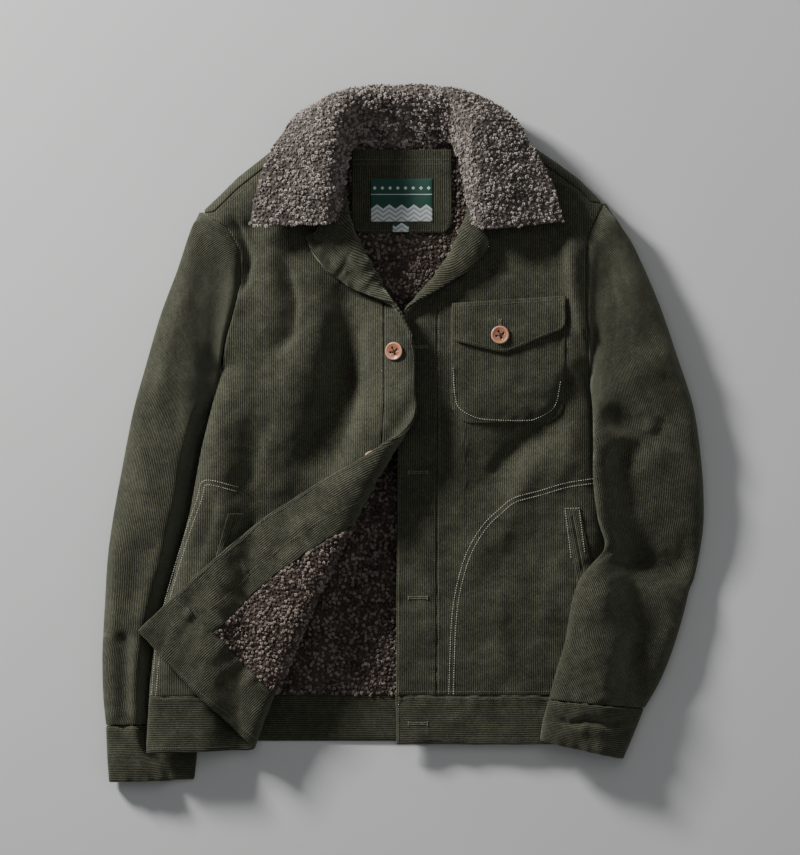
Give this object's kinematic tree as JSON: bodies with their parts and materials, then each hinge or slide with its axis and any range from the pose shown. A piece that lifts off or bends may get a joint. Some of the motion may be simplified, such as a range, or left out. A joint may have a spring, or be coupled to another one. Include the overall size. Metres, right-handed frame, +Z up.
{
  "type": "sherpa lined jacket",
  "caption": "Corduroy jacket with a fleece collar and lining, laid flat face up, one front turned back to show the lining.",
  "frame": {"origin": "a point of the back's flat underside, between the two fronts and just above the middle of the garment's length", "axes": "+Y along the back towards the collar, +X towards the wearer's left sleeve, +Z up off the surface it lies on"},
  "size_m": [0.6629, 0.7744, 0.0791],
  "materials": {
    "corduroy": "fine-wale cotton corduroy, dark olive",
    "collar_sherpa": "curly polyester fleece, taupe",
    "lining_sherpa": "curly polyester fleece, brown taupe",
    "woven_label": "woven satin label, matt",
    "button": "horn-coloured polyester resin"
  },
  "bodies": {
    "root": {"front_right": "corduroy", "button_stand_right": "corduroy", "hem_band_right": "corduroy", "facing_right": "corduroy", "hem_facing_right": "corduroy", "lining_right": "lining_sherpa", "front_left": "corduroy", "placket_left": "corduroy", "hem_band_left": "corduroy", "facing_left": "corduroy", "back": "corduroy", "hem_band_back": "corduroy", "back_lining": "lining_sherpa", "yoke_right": "corduroy", "yoke_left": "corduroy", "sleeve_right": "corduroy", "cuff_right": "corduroy", "sleeve_left": "corduroy", "cuff_left": "corduroy", "collar": "collar_sherpa", "chest_pocket": "corduroy", "pocket_flap": "corduroy", "hand_pocket_welt_left": "corduroy", "hand_pocket_welt_right": "corduroy", "neck_patch": "corduroy", "label": "woven_label", "size_tab": "woven_label", "flap_button": "button", "front_button_1": "button", "front_button_2": "button", "front_button_3": "button", "front_button_4": "button"}
  },
  "joints": []
}
